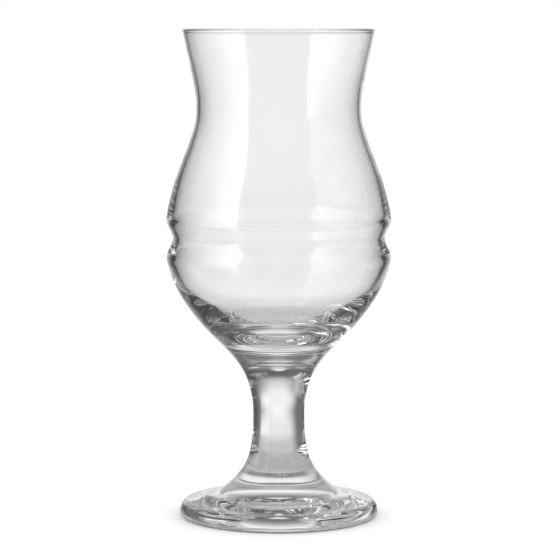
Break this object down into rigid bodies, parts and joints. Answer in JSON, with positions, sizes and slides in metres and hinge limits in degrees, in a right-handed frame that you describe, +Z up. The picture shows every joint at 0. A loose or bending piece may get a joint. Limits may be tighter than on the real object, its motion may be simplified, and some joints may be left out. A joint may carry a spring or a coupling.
{
  "type": "stemmed beer glass",
  "caption": "Clear stemmed beer glass with a flared mouth, a waist, a grooved belly with a thick base, a short solid stem and a round foot, for serving beer.",
  "frame": {"origin": "centre of the rest ring, on the surface that the glass stands on", "axes": "+Z up along the axis that the glass is turned about; +X and +Y are alike"},
  "size_m": [0.0834, 0.0834, 0.1808],
  "materials": {
    "clear_glass": "clear, fire-polished"
  },
  "bodies": {
    "root": {"bowl": "clear_glass", "stem": "clear_glass", "foot": "clear_glass"}
  },
  "joints": []
}
